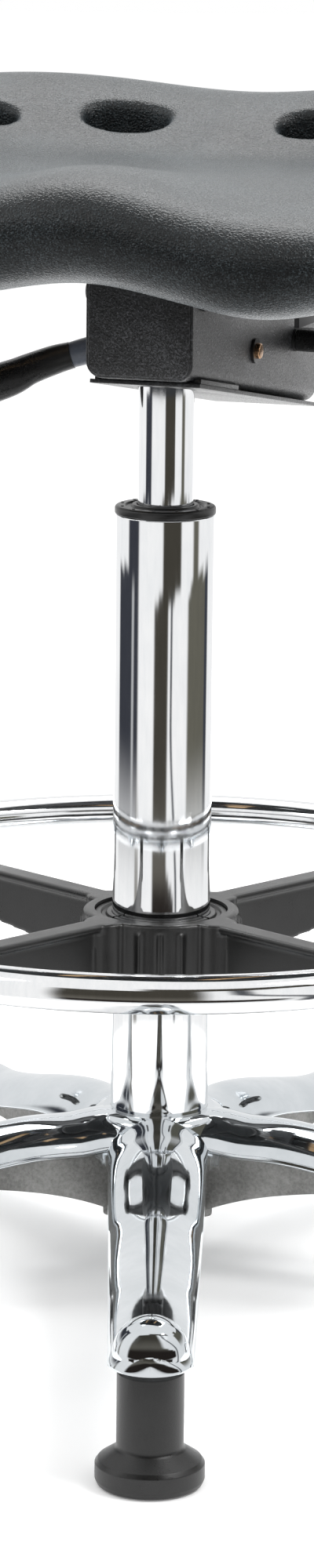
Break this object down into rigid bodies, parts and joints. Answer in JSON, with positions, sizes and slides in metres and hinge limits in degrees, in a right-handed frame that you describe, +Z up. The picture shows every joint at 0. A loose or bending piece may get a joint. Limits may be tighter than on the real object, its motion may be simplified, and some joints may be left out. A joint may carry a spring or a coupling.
{
  "type": "backless drafting stool",
  "caption": "Backless industrial drafting stool: vented contoured seat, lever-operated gas column, chrome foot ring and polished star base on glides.",
  "frame": {"origin": "the point on the floor under the column's axis", "axes": "+Z up along the column; one base leg points along -Y; +X to the right of someone facing that leg. At rest the seat faces 17 degrees round from -Y towards -X"},
  "size_m": [0.6796, 0.6488, 0.6001],
  "materials": {
    "seat_foam": "satin, fine leather grain",
    "plywood": "sanded",
    "zinc_steel": "bright zinc plate",
    "black_bolt": "black oxide",
    "powder_coat": "fine wrinkle powder coat",
    "bronzed_rod": "yellow zinc plate",
    "grey_sleeve": "satin",
    "grip_plastic": "satin",
    "nylon_black": "satin moulded nylon",
    "nylon_white": "satin",
    "chrome": "mirror",
    "ground_steel": "ground",
    "buffer_rubber": "matte",
    "polished_aluminium": "polished above, as cast below"
  },
  "bodies": {
    "base": {"base_casting": "polished_aluminium", "glide_stems": "zinc_steel", "glide_1": "nylon_black", "glide_2": "nylon_black", "glide_3": "nylon_black", "glide_4": "nylon_black", "glide_5": "nylon_black", "column_tube": "chrome", "column_end_plate": "zinc_steel", "guide_bush": "nylon_black", "column_collar": "nylon_black", "bearing_lower_race": "ground_steel", "bearing_balls": "ground_steel"},
    "rod": {"piston_rod": "ground_steel", "piston": "ground_steel", "rubber_buffer": "buffer_rubber", "bearing_upper_race": "ground_steel", "rod_clip": "zinc_steel"},
    "lift": {"gas_cylinder": "chrome", "rod_guide": "buffer_rubber", "taper_socket": "black_bolt", "socket_bridge": "powder_coat", "socket_doubler": "powder_coat", "box_bottom_plate": "powder_coat", "control_box": "powder_coat", "shaft_bushes": "nylon_black", "tilt_pin": "black_bolt", "tilt_clips": "black_bolt", "rocker_pin": "zinc_steel", "tilt_clamp_nut": "black_bolt"},
    "seat": {"seat_cushion": "seat_foam", "seat_board": "plywood", "seat_tee_nuts": "zinc_steel", "seat_bolts": "black_bolt", "seat_washers": "zinc_steel", "seat_plate": "black_bolt", "tilt_link": "black_bolt", "tilt_bushes": "nylon_white"},
    "height_lever": {"height_shaft": "bronzed_rod", "height_crank": "black_bolt", "height_ferrule": "grey_sleeve", "height_grip": "grip_plastic"},
    "valve_rocker": {"valve_rocker": "zinc_steel"},
    "valve_button": {"valve_button": "nylon_white"},
    "tilt_lever": {"tilt_shaft": "zinc_steel", "tilt_clamp_disc": "black_bolt", "tilt_grip": "grip_plastic"},
    "ring_bush": {"foot_ring_bush": "nylon_black"},
    "ring": {"foot_ring": "chrome", "foot_ring_hub": "nylon_black", "foot_ring_screws": "zinc_steel"}
  },
  "joints": [
    {"name": "swivel", "type": "hinge", "parent": "base", "child": "rod", "pos_m": [0, 0, 0.04], "axis": [0, 0, 1], "continuous": true},
    {"name": "gas_lift", "type": "slide", "parent": "rod", "child": "lift", "axis": [0, 0, 1], "range_m": [0, 0.245]},
    {"name": "seat_tilt", "type": "hinge", "parent": "lift", "child": "seat", "pos_m": [-0.00877, -0.02869, 0.506], "axis": [0.9563, -0.2924, 0], "range_deg": [0, 6]},
    {"name": "height_lever", "type": "hinge", "parent": "lift", "child": "height_lever", "pos_m": [0.01754, 0.05738, 0.4685], "axis": [-0.9563, 0.2924, 0], "range_deg": [0, 9.7], "stiffness_Nm_per_rad": 0.6, "springref_deg": -5.73},
    {"name": "rocker", "type": "hinge", "parent": "lift", "child": "valve_rocker", "pos_m": [0.0076, 0.02486, 0.508], "axis": [0.9563, -0.2924, 0], "range_deg": [0, 5.8]},
    {"name": "button", "type": "slide", "parent": "lift", "child": "valve_button", "axis": [0, 0, -1], "range_m": [0, 0.0027]},
    {"name": "tilt_lever", "type": "hinge", "parent": "lift", "child": "tilt_lever", "pos_m": [0.03976, 0.13006, 0.466], "axis": [-0.9563, 0.2924, 0], "range_deg": [0, 30]},
    {"name": "ring_slide", "type": "slide", "parent": "base", "child": "ring_bush", "axis": [0, 0, 1], "range_m": [-0.05, 0.15]},
    {"name": "ring_twist", "type": "hinge", "parent": "ring_bush", "child": "ring", "pos_m": [0, 0, 0.17], "axis": [0, 0, 1], "range_deg": [0, 60]}
  ],
  "couplings": [
    {"joint": "rocker", "follows": "height_lever", "ratio": 0.588},
    {"joint": "button", "follows": "height_lever", "m_per_rad": 0.0153}
  ]
}
